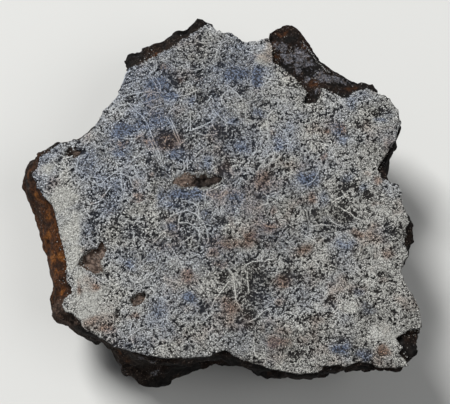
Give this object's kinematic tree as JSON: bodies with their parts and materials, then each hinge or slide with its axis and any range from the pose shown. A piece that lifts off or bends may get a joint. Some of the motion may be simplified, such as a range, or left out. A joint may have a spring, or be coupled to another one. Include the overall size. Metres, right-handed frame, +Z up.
{
  "type": "dypingite mineral specimen",
  "caption": "Broken slab of dark brown rock lying flat, its upper face covered by a thin pale crust of tiny spherules with openings that show the rock.",
  "frame": {"origin": "on the ground under the middle of the specimen's box", "axes": "+Z up out of the crusted face, +Y away from the viewer to the pictured far side, +X to the right"},
  "size_m": [0.08, 0.0762, 0.024],
  "materials": {
    "matrix": "rough dark brown rock, rusty orange on the left side",
    "crust": "matt cream to blue-grey crust of tiny spherules"
  },
  "bodies": {
    "root": {"matrix_rock": "matrix", "dypingite_crust": "crust"}
  },
  "joints": []
}
